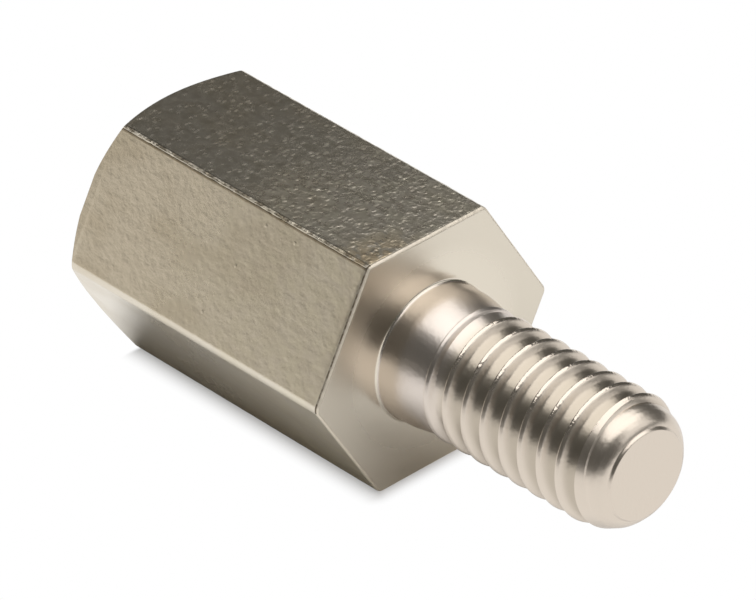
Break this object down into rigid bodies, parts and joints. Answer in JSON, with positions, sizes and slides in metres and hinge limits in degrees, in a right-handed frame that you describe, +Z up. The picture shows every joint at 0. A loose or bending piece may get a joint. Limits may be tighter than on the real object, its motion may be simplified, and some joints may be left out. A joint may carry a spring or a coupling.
{
  "type": "hex standoff",
  "caption": "Male-female hexagonal standoff: a hexagonal spacer with a threaded stud at one end and a blind tapped hole in the other, nickel-plated.",
  "frame": {"origin": "centre of the shoulder, where the stud's axis meets the face that seats on the mating part", "axes": "+X along the axis towards the stud's tip, +Z up with the part lying on a flat of its hexagon, +Y across two corners of the hexagon"},
  "size_m": [0.018, 0.008, 0.007],
  "materials": {
    "nickel_plate": "nickel-plated brass, drawn flats with a fine orange peel, turned ends, semi-bright"
  },
  "bodies": {
    "root": {"standoff": "nickel_plate"}
  },
  "joints": []
}
